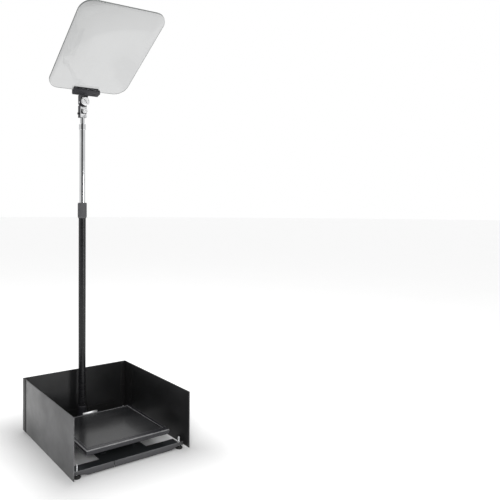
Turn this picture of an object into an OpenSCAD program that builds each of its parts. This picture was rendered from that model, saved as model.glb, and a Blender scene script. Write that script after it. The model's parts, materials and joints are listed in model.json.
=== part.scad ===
// Floor-standing stage teleprompter: a face-up monitor in a three-sided shroud,
// and a glass plate on a telescopic pole that leans over it.
// Millimetres, +Z up. The origin is on the floor, at the centre of the shroud's footprint.
// The reader stands on the -Y side; the pole stands at the back.

/* [Shroud] */
// Outside width of the shroud
shroud_w = 510; // [490:5:560]
// Outside depth of the shroud
shroud_d = 497; // [490:1:520]
// Height of the shroud's panels
shroud_h = 223.5; // [180:0.5:320]
// Gap between the panels and the floor
shroud_gap = 8; // [6:1:12]
// Thickness of the panels
panel_t = 4; // [3:0.5:5]
// Depth of the side legs of the corner posts
post_leg = 31; // [28:1:40]

/* [Base frame] */
// Thickness of the frame plate
plate_t = 3; // [2:0.5:4]
// Height of the plate's underside over the floor
plate_z = 12; // [12:1:16]
// Width of the centre spine that carries the monitor
spine_w = 208; // [180:2:240]
// Depth of the front cross band
front_band = 60; // [50:1:70]
// Height of the front skirt's top edge over the floor
skirt_top = 26.4; // [22:0.2:30]
// Place of the joint between the two skirts, from the middle
skirt_joint_x = -76; // [-120:1:120]

/* [Levelling feet] */
// Distance of each foot from the middle, to the side
foot_x = 226; // [215:1:228]
// Distance of each foot from the middle, to the front and back
foot_y = 215; // [205:1:216]
// Diameter of a foot
foot_d = 30; // [24:1:32]
// Height of a front stud's top over the floor
stud_top = 47.4; // [36:0.2:50]
// Height of a rear stud's top over the floor
rear_stud_top = 30; // [26:0.2:50]

/* [Monitor] */
// Outside width of the bezel
monitor_w = 368; // [360:1:376]
// Outside depth of the bezel
monitor_d = 304.5; // [300:0.5:312]
// Distance from the shroud's middle to the bezel's front face
monitor_front = 209.5; // [204:0.5:210]
// Height of the bezel's top over the floor
monitor_top = 83; // [81:0.5:88]
// Width of the screen opening
screen_w = 336.6; // [330:0.2:340]
// Depth of the screen opening
screen_d = 270.3; // [264:0.1:272]
// Width of the bezel's front border
front_border = 24.8; // [20:0.1:26]
// Distance between the buttons
button_pitch = 16.5; // [14:0.5:18]

/* [Pole] */
// Distance from the shroud's middle back to the pole's axis
pole_y = 196; // [190:1:198]
// Outside diameter of the lower tube
lower_d = 32; // [30:0.5:33]
// Outside diameter of the upper tube
upper_d = 25.2; // [25:0.1:25.4]
// Height of the clutch's lower end
clutch_z = 913.4; // [800:0.2:1000]
// Length of the clutch sleeve
clutch_h = 68; // [60:1:80]
// Height of the upper tube's top end
tube_top = 1301; // [1240:1:1400]
// Whole length of the upper tube
upper_len = 900; // [700:10:950]

/* [Head and glass] */
// Swing of the head about the pole
head_yaw = -2.9; // [-20:0.1:20]
// Slope of the glass from level
glass_tilt = 31.5; // [24:0.5:40]
// Width of the glass
glass_w = 364; // [300:1:420]
// Length of the glass from its lower edge to its upper edge
glass_len = 444; // [350:1:500]
// Thickness of the glass
glass_t = 6; // [5:0.5:8]
// Radius of the glass's corners
glass_corner = 54; // [20:1:60]
// Length of the clamp jaws
jaw_w = 131; // [120:1:160]

/* [Hidden] */
$fn = 48;

half_w = shroud_w / 2;
half_d = shroud_d / 2;
shroud_top = shroud_gap + shroud_h;
panel_in_x = half_w - panel_t;       // inner face of a wing
panel_in_y = half_d - panel_t;       // inner face of the rear panel
plate_top = plate_z + plate_t;
sheet = 2.4;                         // folded sheet metal
running = 0.06;                      // radial gap of a running fit
clear = 0.3;                         // gap between parts that pass each other

band_front_y = -222;                 // front edge of the frame plate
band_rear_y = panel_in_y - sheet;    // rear edge of the frame plate
rear_band = 92;
frame_half_w = half_w - 19;

leaf_t = 1.2;                        // hinge leaves
hinge_x = panel_in_x + 0.8;
hinge_y = half_d - post_leg - 4;
barrel_r = 3;
pin_r = 1.1;
knuckles = 9;
knuckle_pitch = shroud_h / knuckles;

bezel_h = 18;
bezel_z = monitor_top - bezel_h;     // underside of the bezel
bezel_back = monitor_d - monitor_front;
monitor_mid = bezel_back - monitor_d / 2;
screen_front = -monitor_front + front_border;
boss_z = 37.4;                       // face that the monitor is fixed by
vesa = 50;                           // half of the 100 mm hole square
button_z = 74;
button_r = 3.2;
button_x0 = 67;

socket_top = 82;
socket_r = 20;
flange_r = 42;
bolt_ring = 32;
lower_r = lower_d / 2;
bore_r = lower_r - 1.5;
upper_r = upper_d / 2;
clutch_r = 20;
clutch_top = clutch_z + clutch_h;
spigot_r = 10;
spigot_top = 1392;

swivel_z = 1355;                     // underside of the swivel body
swivel_top = 1408;
swivel_half_w = 15;
swivel_half_d = 13;
lock_z = 1380;                       // axis of the swivel lock knob
tilt_z = 1421;                       // axis of the tilt pin
hub_half_w = 9;
hub_front = 27;
tilt_pin_r = 4;
tilt_knob_r = 18.3;
cheek_r = 12.4;

glass_edge_y = -38.5;                // lower edge of the glass, from the pole's axis
glass_edge_z = 1463.9;
pad_t = 1.5;
jaw_t = 8;
jaw_reach = 14.6;                    // jaw over the glass
jaw_heel = 18.6;                     // jaw behind the glass's edge
clamp_x = 38;
clamp_y = 8;

// ---------- helpers ----------

// Box from its lowest to its highest corner
module block(low, high) {
    translate(low) cube(high - low);
}

// Screw along Z with its head on top of z = 0
module screw(head_r, head_h, shank_r, length) {
    cylinder(r = head_r, h = head_h);
    translate([0, 0, -length]) cylinder(r = shank_r, h = length + head_h / 2);
}

// Its children at the pole's axis
module at_pole() {
    translate([0, pole_y, 0]) children();
}

// Its children in the head's frame, turned about the pole
module at_head() {
    at_pole() rotate([0, 0, head_yaw]) children();
}

// Its children in the jaw's frame: the glass runs along -Y and its underside is z = 0
module at_jaw() {
    at_head() translate([0, glass_edge_y, glass_edge_z]) rotate([-glass_tilt, 0, 0]) children();
}

// Its children at one foot
module at_foot(side, end) {
    translate([side * foot_x, end * foot_y, 0]) children();
}

// The children, or their mirror image on the right
module on_side(side) {
    mirror([side > 0 ? 1 : 0, 0, 0]) children();
}

// Places of the screws that hold the skirts, the rear rail and the riser
skirt_screws = [-190, -110, -40, 60, 160];
rail_screws = [-150, -60, 60, 150];
riser_screws = [for (x = [-74, 74], y = [-110, -4]) [x, y]];
post_screws = [30, 120, 210];
post_screw_x = panel_in_x - 11;

// ---------- base frame ----------

module base_frame() {
    color("#26272a") difference() {
        union() {
            block([-frame_half_w, band_front_y, plate_z],
                  [frame_half_w, band_front_y + front_band, plate_top]);
            block([-spine_w / 2, band_front_y, plate_z], [spine_w / 2, band_rear_y, plate_top]);
            block([-frame_half_w, band_rear_y - rear_band, plate_z],
                  [frame_half_w, band_rear_y, plate_top]);
        }
        for (side = [-1, 1], end = [-1, 1])
            at_foot(side, end) cylinder(r = 4 + running, h = 60);
        for (x = skirt_screws) translate([x, -214, 0]) cylinder(r = 2.6, h = 60);
        for (x = rail_screws) translate([x, 234, 0]) cylinder(r = 2.6, h = 60);
        for (p = riser_screws) translate([p[0], p[1], 0]) cylinder(r = 2.6, h = 60);
        at_pole() for (a = [45:90:315]) rotate([0, 0, a])
            translate([bolt_ring, 0, 0]) cylinder(r = 3.1, h = 60);
    }
}

// Skirt between two places along X; it rises towards the feet at its outer end
module skirt(x0, x1, outer) {
    taper_x = 185;
    difference() {
        union() {
            translate([0, band_front_y, 0]) rotate([90, 0, 0]) linear_extrude(sheet)
                polygon(outer < 0
                    ? [[x0, 13], [-213, 13], [-taper_x, 4], [x1, 4], [x1, skirt_top], [x0, skirt_top]]
                    : [[x1, 13], [x1, skirt_top], [x0, skirt_top], [x0, 4], [taper_x, 4], [213, 13]]);
            block([max(x0, -200), band_front_y, plate_z - sheet],
                  [min(x1, 200), band_front_y + 16, plate_z]);
        }
        for (x = skirt_screws) translate([x, -214, 0]) cylinder(r = 2.6, h = 60);
    }
}

module front_skirt_left() {
    color("#3a3b3e") skirt(-half_w + 13.8, skirt_joint_x - 1.3, -1);
}

module front_skirt_right() {
    color("#3a3b3e") skirt(skirt_joint_x + 1.3, half_w - 13.8, 1);
}

module rear_rail() {
    rail_half = 195;
    color("#2a2b2e") difference() {
        union() {
            block([-rail_half, band_rear_y, plate_z - sheet], [rail_half, panel_in_y, 50]);
            block([-rail_half, band_rear_y - 16, plate_z - sheet], [rail_half, band_rear_y, plate_z]);
        }
        for (x = rail_screws) {
            translate([x, 234, 0]) cylinder(r = 2.6, h = 60);
            translate([x, 230, 38]) rotate([-90, 0, 0]) cylinder(r = 2.6, h = 30);
        }
    }
}

// Hat section that lifts the monitor to its height
module monitor_riser() {
    top_half = 62;
    y0 = monitor_mid - 75;
    y1 = monitor_mid + 75;
    color("#2a2b2e") difference() {
        union() {
            block([-top_half, y0, boss_z - sheet], [top_half, y1, boss_z]);
            for (side = [-1, 1]) on_side(side) {
                block([-top_half, y0, plate_top], [-top_half + sheet, y1, boss_z]);
                block([-top_half - 22, y0, plate_top], [-top_half, y1, plate_top + sheet]);
            }
        }
        for (p = riser_screws) translate([p[0], p[1], 0]) cylinder(r = 2.6, h = 60);
        for (x = [-vesa, vesa], y = [-vesa, vesa])
            translate([x, monitor_mid + y, 0]) cylinder(r = 2.2, h = 60);
    }
}

// Button-head screws of the frame, all alike
module frame_screws() {
    head_r = 4.6;
    color("#17181a") {
        for (x = skirt_screws)
            translate([x, -214, plate_top]) screw(head_r, 2.4, 2.5, plate_t + sheet);
        for (x = rail_screws) {
            translate([x, 234, plate_top]) screw(head_r, 2.4, 2.5, plate_t + sheet);
            translate([x, half_d - 2.4, 38]) rotate([-90, 0, 0]) screw(head_r, 2.4, 2.5, panel_t);
        }
        for (p = riser_screws)
            translate([p[0], p[1], plate_top + sheet]) screw(head_r, 2.4, 2.5, plate_t + sheet);
        for (side = [-1, 1], z = post_screws)
            translate([side * post_screw_x, half_d - 2.4, z]) rotate([-90, 0, 0])
                screw(head_r, 2.4, 2.5, panel_t);
    }
}

module vesa_screws() {
    color("#b9bcc0") for (x = [-vesa, vesa], y = [-vesa, vesa])
        translate([x, monitor_mid + y, boss_z - sheet]) mirror([0, 0, 1])
            screw(3.8, 2.6, 2, sheet + 6);
}

// Aluminium angle that locates the back edge of the monitor
module monitor_clip() {
    clip_y = bezel_back + 1.5;
    clip_top = monitor_top + 5.5;
    color("#c9ccd0") {
        block([-45, clip_y, plate_top], [24, clip_y + 2.5, clip_top]);
        block([-45, clip_y + 2.5, plate_top], [24, clip_y + 24, plate_top + 2.5]);
    }
}

// Levelling foot pad under its stud
module foot_pad(side, end) {
    color("#121214") at_foot(side, end) difference() {
        rotate_extrude() polygon([[0, 0], [foot_d / 2 - 1, 0], [foot_d / 2, 1], [foot_d / 2, 6],
                                  [foot_d / 2 - 3, 9.2], [0, 9.2]]);
        translate([0, 0, 3]) cylinder(r = 4, h = 10);
    }
}

module foot_stud(side, end) {
    top = end < 0 ? stud_top : rear_stud_top;
    color("#d5d8dc") at_foot(side, end) {
        translate([0, 0, 3]) cylinder(r = 4, h = top - 4);
        translate([0, 0, top - 1]) cylinder(r1 = 4, r2 = 3, h = 1, $fn = 48);
    }
}

module foot_lock_nuts() {
    color("#d5d8dc") for (side = [-1, 1], end = [-1, 1]) at_foot(side, end)
        translate([0, 0, plate_top]) difference() {
            cylinder(r = 13 / sqrt(3), h = 6.5, $fn = 6);
            translate([0, 0, -1]) cylinder(r = 4 + running, h = 10);
        }
}

// ---------- shroud ----------

module rear_panel() {
    color("#1d1e20") difference() {
        block([-panel_in_x, panel_in_y, shroud_gap], [panel_in_x, half_d, shroud_top]);
        for (x = rail_screws) translate([x, 0, 38]) rotate([-90, 0, 0]) {
            cylinder(r = 2.6, h = 300);
            translate([0, 0, half_d - 2.4]) cylinder(r = 4.7, h = 5);
        }
        for (side = [-1, 1], z = post_screws)
            translate([side * post_screw_x, 0, z]) rotate([-90, 0, 0]) {
                cylinder(r = 2.6, h = 300);
                translate([0, 0, half_d - 2.4]) cylinder(r = 4.7, h = 5);
            }
    }
}

// Angle at a rear corner: a side leg flush with the wing and an inner leg on the rear panel
module corner_post(side) {
    color("#0e0e10") on_side(side) difference() {
        union() {
            block([-half_w, half_d - post_leg, shroud_gap], [-panel_in_x, half_d, shroud_top]);
            block([-panel_in_x, panel_in_y - 2, shroud_gap],
                  [-panel_in_x + 22, panel_in_y, shroud_top]);
        }
        for (z = post_screws)
            translate([-post_screw_x, 0, z]) rotate([-90, 0, 0]) cylinder(r = 2.6, h = 300);
    }
}

module wing_panel(side) {
    color("#1d1e20") on_side(side)
        block([-half_w, -half_d, shroud_gap], [-panel_in_x, hinge_y - 4, shroud_top]);
}

// Hinge leaf: its plate lies on the panel's inner face and it holds every other knuckle
module hinge_leaf(side, first, bore, y0, y1) {
    color("#4a4b4e") on_side(side) difference() {
        union() {
            block([-panel_in_x, y0, shroud_gap], [-panel_in_x + leaf_t, y1, shroud_top]);
            for (k = [first:2:knuckles - 1]) translate([0, 0, shroud_gap + k * knuckle_pitch]) {
                translate([-hinge_x, hinge_y, clear / 2])
                    cylinder(r = barrel_r, h = knuckle_pitch - clear);
                block([-panel_in_x, min(y0, hinge_y), clear / 2],
                      [-panel_in_x + leaf_t, max(y1, hinge_y), knuckle_pitch - clear / 2]);
            }
        }
        translate([-hinge_x, hinge_y, 0]) cylinder(r = bore, h = 400);
    }
}

module hinge_fixed_leaf(side) {
    hinge_leaf(side, 0, pin_r, hinge_y + barrel_r + clear, panel_in_y - 2.5);
}

module hinge_moving_leaf(side) {
    hinge_leaf(side, 1, pin_r + running, hinge_y - 31, hinge_y - barrel_r - clear);
}

module hinge_pins() {
    color("#d5d8dc") for (side = [-1, 1])
        translate([side * hinge_x, hinge_y, shroud_gap]) cylinder(r = pin_r, h = shroud_h);
}

// ---------- monitor ----------

module front_bezel() {
    wall = 4;
    lip = 2.5;
    x = monitor_w / 2;
    color("#141416") difference() {
        hull() {
            block([-x, -monitor_front, bezel_z], [x, bezel_back, monitor_top - 2.5]);
            block([-x + 2, -monitor_front + 2.5, bezel_z], [x - 2, bezel_back - 2, monitor_top]);
        }
        block([-x + wall, -monitor_front + wall, bezel_z - 1],
              [x - wall, bezel_back - wall, monitor_top - lip]);
        block([-screen_w / 2, screen_front, bezel_z],
              [screen_w / 2, screen_front + screen_d, monitor_top + 1]);
        for (k = [0:4]) translate([button_x0 + k * button_pitch, -monitor_front - 1, button_z])
            rotate([-90, 0, 0]) cylinder(r = button_r + clear, h = wall + 2);
    }
}

module lcd_panel() {
    color("#0a0b0d") block([-178, -197, monitor_top - 7], [178, 89, monitor_top - 2.5]);
}

module backlight() {
    color("#e8e8e4") block([-178, -197, bezel_z + 2], [178, 89, monitor_top - 7]);
}

module rear_housing() {
    wall = 2.5;
    floor_z = 50;
    low = [-120, monitor_mid - 80];
    high = [120, 66];
    rim = monitor_w / 2 - 5;
    color("#1b1c1e") difference() {
        union() {
            hull() {
                block([-rim, -monitor_front + 5, bezel_z - 1], [rim, bezel_back - 5, bezel_z]);
                block([low[0], low[1], floor_z], [high[0], high[1], floor_z + 1]);
            }
            block([-66, monitor_mid - 66, boss_z], [66, monitor_mid + 66, floor_z + 1]);
        }
        hull() {
            block([-rim + 4, -monitor_front + 9, bezel_z], [rim - 4, bezel_back - 9, bezel_z + 1]);
            block([low[0] + 4, low[1] + 4, floor_z + wall], [high[0] - 4, high[1] - 4, floor_z + 4]);
        }
        block([-62, monitor_mid - 62, boss_z + 7], [62, monitor_mid + 62, floor_z + 5]);
        for (x = [-vesa, vesa], y = [-vesa, vesa])
            translate([x, monitor_mid + y, boss_z - 1]) cylinder(r = 2.1, h = 9);
        inlet_body();
        video_body();
    }
}

module main_board() {
    color("#2f6b45") block([-56, monitor_mid - 50, 53], [56, monitor_mid + 70, 54.6]);
}

inlet_at = [-50, 42];
video_at = [45, 44];

// The inlet's outline through the housing's floor
module inlet_body() {
    translate([inlet_at[0], inlet_at[1], 48]) block([-14, -10.5, 0], [14, 10.5, 14]);
}

module power_inlet() {
    color("#101012") difference() {
        inlet_body();
        translate([inlet_at[0], inlet_at[1], 47]) block([-12, -8.5, 0], [12, 8.5, 11]);
    }
}

module video_body() {
    translate([video_at[0], video_at[1], 48]) block([-15.5, -6, 0], [15.5, 6, 12]);
}

module video_connector() {
    color("#2743a0") difference() {
        video_body();
        translate([video_at[0], video_at[1], 47]) block([-8.5, -4, 0], [8.5, 4, 7]);
        for (side = [-1, 1]) translate([video_at[0] + side * 12.2, video_at[1], 47])
            cylinder(r = 1.6, h = 7);
    }
}

// Push button number k, counted from the left
module button(k) {
    color("#08080a") translate([button_x0 + k * button_pitch, -monitor_front - 0.8, button_z])
        rotate([-90, 0, 0]) {
            cylinder(r = button_r, h = 9.6);
            translate([0, 0, 5.4]) cylinder(r = button_r + 1.4, h = 2);
        }
}

// ---------- pole ----------

module pole_socket() {
    color("#101012") at_pole() difference() {
        union() {
            translate([0, 0, plate_top]) cylinder(r = flange_r, h = 6);
            translate([0, 0, plate_top]) cylinder(r = socket_r, h = socket_top - 2 - plate_top);
            translate([0, 0, socket_top - 2]) cylinder(r1 = socket_r, r2 = socket_r - 2, h = 2);
        }
        translate([0, 0, plate_top + 2]) cylinder(r = lower_r, h = 100);
        for (a = [45:90:315]) rotate([0, 0, a])
            translate([bolt_ring, 0, 0]) cylinder(r = 3.1, h = 60);
    }
}

module socket_bolts() {
    color("#2b2c2f") at_pole() for (a = [45:90:315]) rotate([0, 0, a])
        translate([bolt_ring, 0, plate_top + 6]) difference() {
            screw(5, 6, 3, 6 + plate_t);
            translate([0, 0, 3]) cylinder(r = 2.9, h = 5, $fn = 6);
        }
}

module tube(outer, inner, z0, z1) {
    difference() {
        translate([0, 0, z0]) cylinder(r = outer, h = z1 - z0);
        translate([0, 0, z0 - 1]) cylinder(r = inner, h = z1 - z0 + 2);
    }
}

module lower_tube() {
    color("#0d0d0f") at_pole() tube(lower_r, bore_r, plate_top + 2, clutch_z + 22);
}

// Threaded ring on the lower tube's end, which carries the sleeve
module clutch_body() {
    color("#232427") at_pole() difference() {
        translate([0, 0, clutch_z + 8]) cylinder(r = lower_r + 1.6, h = 29);
        translate([0, 0, clutch_z]) cylinder(r = lower_r, h = 22);
        translate([0, 0, clutch_z + 21]) cylinder(r = bore_r, h = 40);
    }
}

// Split bush that the sleeve closes on the upper tube
module clutch_collet() {
    z0 = clutch_z + 37;
    z1 = clutch_top - 3.4;
    color("#d9d9d4") at_pole() difference() {
        rotate_extrude() polygon([[upper_r + running, z0], [lower_r + 1.4, z0],
                                  [upper_r + 1.6, z1], [upper_r + running, z1]]);
        for (a = [0, 90]) rotate([0, 0, a])
            block([-30, -0.75, z0 + 7], [30, 0.75, z1 + 1]);
    }
}

module clutch_sleeve() {
    chamfer = 2;
    color("#3c3d40") at_pole() difference() {
        rotate_extrude() polygon([
            [lower_r + clear, clutch_z], [clutch_r - chamfer, clutch_z],
            [clutch_r, clutch_z + 7], [clutch_r, clutch_top - chamfer],
            [clutch_r - chamfer, clutch_top], [upper_r + 0.6, clutch_top],
            [upper_r + 0.6, clutch_top - 3], [lower_r + 1.9, clutch_top - 3],
            [lower_r + 1.9, clutch_z + 7.4], [lower_r + clear, clutch_z + 7.4]]);
    }
}

module upper_tube() {
    color("#c8cbd0") at_pole() tube(upper_r, upper_r - 1.5, tube_top - upper_len, tube_top);
}

// Plug that guides the upper tube's hidden end in the lower tube
module tube_guide_plug() {
    z0 = tube_top - upper_len;
    color("#e6e4da") at_pole() difference() {
        union() {
            translate([0, 0, z0 - 14]) cylinder(r = bore_r - running, h = 14);
            translate([0, 0, z0]) cylinder(r = upper_r - 1.5, h = 24);
        }
        translate([0, 0, z0 - 20]) cylinder(r = 6, h = 60);
    }
}

// Turned end piece of the upper tube, with the spigot that the head turns on
module head_spigot() {
    collar_r = 14.8;
    collar_h = 26;
    color("#d7dade") at_pole() rotate_extrude() polygon([
        [0, tube_top - 30], [upper_r - 1.5, tube_top - 30], [upper_r - 1.5, tube_top],
        [collar_r - 1, tube_top], [collar_r, tube_top + 1],
        [collar_r, tube_top + collar_h - 2], [collar_r - 2, tube_top + collar_h],
        [spigot_r, tube_top + collar_h], [spigot_r, spigot_top - 1],
        [spigot_r - 1, spigot_top], [0, spigot_top]]);
}

// ---------- head ----------

// Block that turns on the spigot, with the hub of the tilt hinge on top
module swivel_body() {
    color("#131315") at_head() difference() {
        union() {
            block([-swivel_half_w, -swivel_half_d, swivel_z],
                  [swivel_half_w, swivel_half_d, swivel_top]);
            block([-hub_half_w, -hub_front, swivel_top - 1], [hub_half_w, 9, tilt_z + 8]);
            translate([-hub_half_w, 0, tilt_z]) rotate([0, 90, 0])
                cylinder(r = 12, h = 2 * hub_half_w);
            // end of the clamping bolt on the left side
            translate([-swivel_half_w - 5, 5, 1373]) rotate([0, 90, 0])
                cylinder(r = 5.5, h = 6, $fn = 6);
        }
        translate([0, 0, swivel_z - 1]) cylinder(r = spigot_r + running, h = spigot_top + 5 - swivel_z);
        translate([-30, 0, tilt_z]) rotate([0, 90, 0]) cylinder(r = tilt_pin_r + running, h = 60);
        translate([0, -40, lock_z]) rotate([-90, 0, 0]) cylinder(r = 3 + running, h = 40);
        translate([0, -40, tilt_z]) rotate([-90, 0, 0]) cylinder(r = 3 + running, h = 40);
    }
}

module swivel_faceplate() {
    y0 = -swivel_half_d - 1.6;
    color("#cfd2d6") at_head() difference() {
        block([-swivel_half_w, y0, swivel_z], [swivel_half_w, -swivel_half_d, 1401]);
        block([-11.8, y0 - 1, 1369.5], [11.8, -10, 1390]);
        translate([0, y0 - 1, 1362]) rotate([-90, 0, 0]) cylinder(r = 1.8, h = 1.8);
    }
}

// Hand knob on a screw along Y; its head's back face is at y0
module hand_knob(z, y0, thick, radius, tip) {
    at_head() translate([0, y0, z]) rotate([90, 0, 0]) {
        difference() {
            union() {
                cylinder(r = radius - 1, h = thick);
                translate([0, 0, 1]) cylinder(r = radius, h = thick - 2);
            }
            children();
        }
        translate([0, 0, -(tip - y0)]) cylinder(r = 3, h = tip - y0 + 1);
    }
}

module swivel_knob() {
    color("#b4b7bb") hand_knob(lock_z, -22, 12, 10, -spigot_r - 0.4);
}

// Coin-slotted knob that locks the tilt
module tilt_knob() {
    color("#e4e6e8") hand_knob(tilt_z, -hub_front - 0.6, 8.5, tilt_knob_r, -tilt_pin_r - 0.5)
        translate([0, 0, 6.5]) rotate([0, 0, -50]) block([-12, -1.2, 0], [12, 1.2, 3]);
}

module tilt_pin() {
    color("#9b9ea2") at_head() translate([-swivel_half_w, 0, tilt_z]) rotate([0, 90, 0])
        cylinder(r = tilt_pin_r, h = 2 * swivel_half_w);
}

// Fork on the tilt pin, with the lower jaw on top
module glass_yoke() {
    web_z = 1447.5;
    top_z = 1453;
    color("#161618") difference() {
        union() {
            at_head() {
                for (side = [-1, 1]) on_side(side)
                    translate([-swivel_half_w, 0, 0]) rotate([90, 0, 90])
                        linear_extrude(swivel_half_w - hub_half_w - clear) {
                            translate([0, tilt_z]) circle(r = cheek_r);
                            polygon([[cheek_r, tilt_z], [cheek_r, top_z], [-23, top_z],
                                     [-27.6, 1446.1], [-cheek_r, tilt_z]]);
                        }
                translate([-swivel_half_w, 0, 0]) rotate([90, 0, 90])
                    linear_extrude(2 * swivel_half_w)
                        polygon([[cheek_r, web_z], [cheek_r, top_z], [-24, top_z],
                                 [-36, 1452.6], [-27.6, web_z - 1.4], [-23, web_z]]);
            }
            at_jaw() jaw_bar(-pad_t - jaw_t, -pad_t);
        }
        at_head() translate([-30, 0, tilt_z]) rotate([0, 90, 0]) cylinder(r = tilt_pin_r, h = 60);
        at_jaw() for (x = [-clamp_x, clamp_x]) translate([x, clamp_y, -20]) {
            cylinder(r = 3.1, h = 40);
            cylinder(r = 5.4, h = 20 - pad_t - 3.5);
        }
    }
}

// Clamp jaw between two heights over the glass's underside, with pointed ends
module jaw_bar(z0, z1) {
    half = jaw_w / 2;
    cut = 6;
    translate([0, 0, z0]) linear_extrude(z1 - z0)
        polygon([[-half + cut, -jaw_reach], [half - cut, -jaw_reach], [half, 0],
                 [half - cut, jaw_heel], [-half + cut, jaw_heel], [-half, 0]]);
}

module upper_jaw() {
    under = glass_t + pad_t;
    color("#1a1a1c") at_jaw() difference() {
        union() {
            intersection() {
                jaw_bar(under, under + 7);
                block([-56, -30, 0], [56, 30, 40]);
            }
            block([-50, jaw_heel - 5, -pad_t], [50, jaw_heel, under + 1]);
        }
        for (x = [-clamp_x, clamp_x]) translate([x, clamp_y, 0]) cylinder(r = 3.1, h = 40);
    }
}

module jaw_pads() {
    color("#0b0b0c") at_jaw() for (z = [-pad_t, glass_t])
        block([-54, -jaw_reach + 0.5, z], [54, 0, z + pad_t]);
}

module clamp_screws() {
    color("#85888c") at_jaw() for (x = [-clamp_x, clamp_x])
        translate([x, clamp_y, -pad_t - 3.5]) mirror([0, 0, 1]) difference() {
            screw(5, 4.5, 3, 34);
            translate([0, 0, 2]) cylinder(r = 2.9, h = 5, $fn = 6);
        }
}

// Thumb nut on a clamp screw
module clamp_knob(side) {
    z0 = glass_t + pad_t + 7 + clear;
    color("#c4c7ca") at_jaw() translate([side * clamp_x, clamp_y, z0]) difference() {
        union() {
            cylinder(r = 6, h = 5);
            translate([0, 0, 4]) cylinder(r = 9.5, h = 16);
            translate([0, 0, 20]) cylinder(r1 = 9.5, r2 = 7.5, h = 2, $fn = 48);
        }
        translate([0, 0, -1]) cylinder(r = 3 + running, h = 17);
    }
}

// Glass plate: its lower edge is in the jaws and its corners are round
module glass() {
    x = glass_w / 2;
    r = glass_corner;
    color([0.75, 0.78, 0.8, 0.5]) at_jaw() linear_extrude(glass_t) union() {
        translate([-x + r, -glass_len]) square([glass_w - 2 * r, glass_len]);
        translate([-x, -glass_len + r]) square([glass_w, glass_len - 2 * r]);
        for (side = [-1, 1], y = [-r, -glass_len + r])
            translate([side * (x - r), y]) circle(r = r, $fn = 96);
    }
}

base_frame();
front_skirt_left();
front_skirt_right();
rear_rail();
monitor_riser();
frame_screws();
vesa_screws();
monitor_clip();
pole_socket();
socket_bolts();
lower_tube();
clutch_body();
clutch_collet();
rear_panel();
corner_post(-1);  // left_corner_post
corner_post(1);  // right_corner_post
hinge_fixed_leaf(-1);  // left_hinge_fixed_leaf
hinge_fixed_leaf(1);  // right_hinge_fixed_leaf
hinge_pins();
foot_lock_nuts();
front_bezel();
lcd_panel();
backlight();
rear_housing();
main_board();
power_inlet();
video_connector();
wing_panel(-1);  // left_wing_panel
wing_panel(1);  // right_wing_panel
hinge_moving_leaf(-1);  // left_hinge_moving_leaf
hinge_moving_leaf(1);  // right_hinge_moving_leaf
button(0);  // auto_button
button(1);  // down_button
button(2);  // up_button
button(3);  // menu_button
button(4);  // power_button
foot_pad(-1, -1);  // foot_front_left
foot_pad(1, -1);  // foot_front_right
foot_pad(-1, 1);  // foot_rear_left
foot_pad(1, 1);  // foot_rear_right
foot_stud(-1, -1);  // stud_front_left
foot_stud(1, -1);  // stud_front_right
foot_stud(-1, 1);  // stud_rear_left
foot_stud(1, 1);  // stud_rear_right
clutch_sleeve();
upper_tube();
tube_guide_plug();
head_spigot();
swivel_body();
swivel_faceplate();
swivel_knob();
tilt_knob();
tilt_pin();
glass_yoke();
upper_jaw();
jaw_pads();
clamp_screws();
clamp_knob(-1);  // left_clamp_knob
clamp_knob(1);  // right_clamp_knob
glass();
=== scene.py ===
"""Floor-standing stage teleprompter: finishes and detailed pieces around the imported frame.

The reader stands on the -Y side. Lengths are in metres, and MM turns millimetres into metres.
"""

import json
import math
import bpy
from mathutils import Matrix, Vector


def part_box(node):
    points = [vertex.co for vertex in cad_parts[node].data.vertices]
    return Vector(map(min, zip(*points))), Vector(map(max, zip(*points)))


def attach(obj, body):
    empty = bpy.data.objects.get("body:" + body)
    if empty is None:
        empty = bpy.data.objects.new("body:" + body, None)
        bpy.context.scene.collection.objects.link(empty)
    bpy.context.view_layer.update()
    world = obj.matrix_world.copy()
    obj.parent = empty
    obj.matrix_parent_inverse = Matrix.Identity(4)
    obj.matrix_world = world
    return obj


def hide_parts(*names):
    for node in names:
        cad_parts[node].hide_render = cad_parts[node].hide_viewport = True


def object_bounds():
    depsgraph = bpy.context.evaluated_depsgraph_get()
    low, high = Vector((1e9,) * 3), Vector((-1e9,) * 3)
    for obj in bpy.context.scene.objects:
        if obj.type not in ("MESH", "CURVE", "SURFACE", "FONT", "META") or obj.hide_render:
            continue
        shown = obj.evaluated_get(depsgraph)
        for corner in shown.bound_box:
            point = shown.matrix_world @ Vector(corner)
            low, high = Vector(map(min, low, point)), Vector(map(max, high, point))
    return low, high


bl_info = {
    "name": "Stage Teleprompter",
    "version": (1, 0, 0),
    "blender": (4, 5, 0),
    "location": "View3D > Sidebar > Teleprompter",
    "description": "Builds a floor-standing teleprompter's finishes and detailed pieces",
    "category": "Object",
}

import bmesh
import bpy
from bpy.props import FloatProperty, FloatVectorProperty, IntProperty, PointerProperty
from mathutils import Matrix, Vector

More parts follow.
